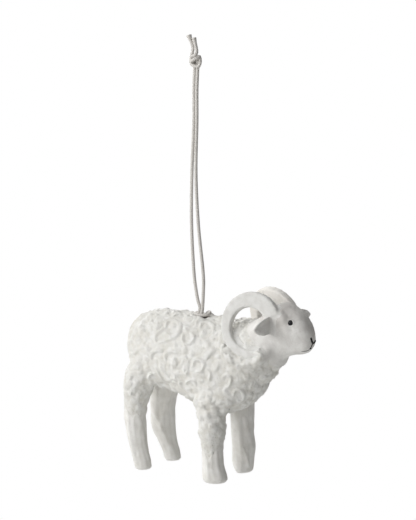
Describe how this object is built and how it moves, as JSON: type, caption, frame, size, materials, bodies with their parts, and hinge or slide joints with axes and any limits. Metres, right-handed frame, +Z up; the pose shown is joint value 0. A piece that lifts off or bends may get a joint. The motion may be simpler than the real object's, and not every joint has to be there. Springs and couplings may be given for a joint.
{
  "type": "hanging papier-mache ram ornament",
  "caption": "White papier-mache ram with curled horns, moulded woolly fleece and smooth legs, hung by a knotted cotton cord looped on a wire eye in its back.",
  "frame": {"origin": "the hang point, on the cord's axis just under its knot, where a hook carries the loop", "axes": "+Z up along the hanging cord, +X from the rump to the nose, +Y to the ram's left"},
  "size_m": [0.1048, 0.0416, 0.1995],
  "materials": {
    "fleece_paper": "matte, moulded wool curls",
    "face_paper": "matte, smoothed",
    "leg_paper": "matte, wrapped strips",
    "horn_card": "matte, pulp-covered card",
    "core_paper": "crumpled newsprint",
    "frame_wire": "dull iron wire",
    "eye_bead": "gloss",
    "cotton_cord": "round braid, matte"
  },
  "bodies": {
    "hanger": {"cord_knot": "cotton_cord", "cord_tail_front": "cotton_cord", "cord_tail_rear": "cotton_cord"},
    "strands": {"cord_strand_front": "cotton_cord", "cord_strand_rear": "cotton_cord"},
    "hitch": {"cord_hitch": "cotton_cord"},
    "ram": {"body_shell_right": "fleece_paper", "body_shell_left": "fleece_paper", "tail": "fleece_paper", "head": "face_paper", "ear_right": "face_paper", "ear_left": "face_paper", "leg_front_right": "leg_paper", "leg_front_left": "leg_paper", "leg_hind_right": "leg_paper", "leg_hind_left": "leg_paper", "horn_right": "horn_card", "horn_left": "horn_card", "paper_core": "core_paper", "leg_wire_front_right": "frame_wire", "leg_wire_front_left": "frame_wire", "leg_wire_hind_right": "frame_wire", "leg_wire_hind_left": "frame_wire", "spine_wire": "frame_wire", "hanger_eye": "frame_wire", "eye_right": "eye_bead", "eye_left": "eye_bead"}
  },
  "joints": [
    {"name": "cord_twist", "type": "hinge", "parent": "hanger", "child": "strands", "pos_m": [0, 0, 0], "axis": [0, 0, 1], "range_deg": [-180, 180]},
    {"name": "fore_aft_swing", "type": "hinge", "parent": "strands", "child": "hitch", "pos_m": [0, 0, -0.1074], "axis": [0, 1, 0], "range_deg": [-25, 25]},
    {"name": "side_swing", "type": "hinge", "parent": "hitch", "child": "ram", "pos_m": [0, 0, -0.112], "axis": [1, 0, 0], "range_deg": [-25, 25]}
  ]
}
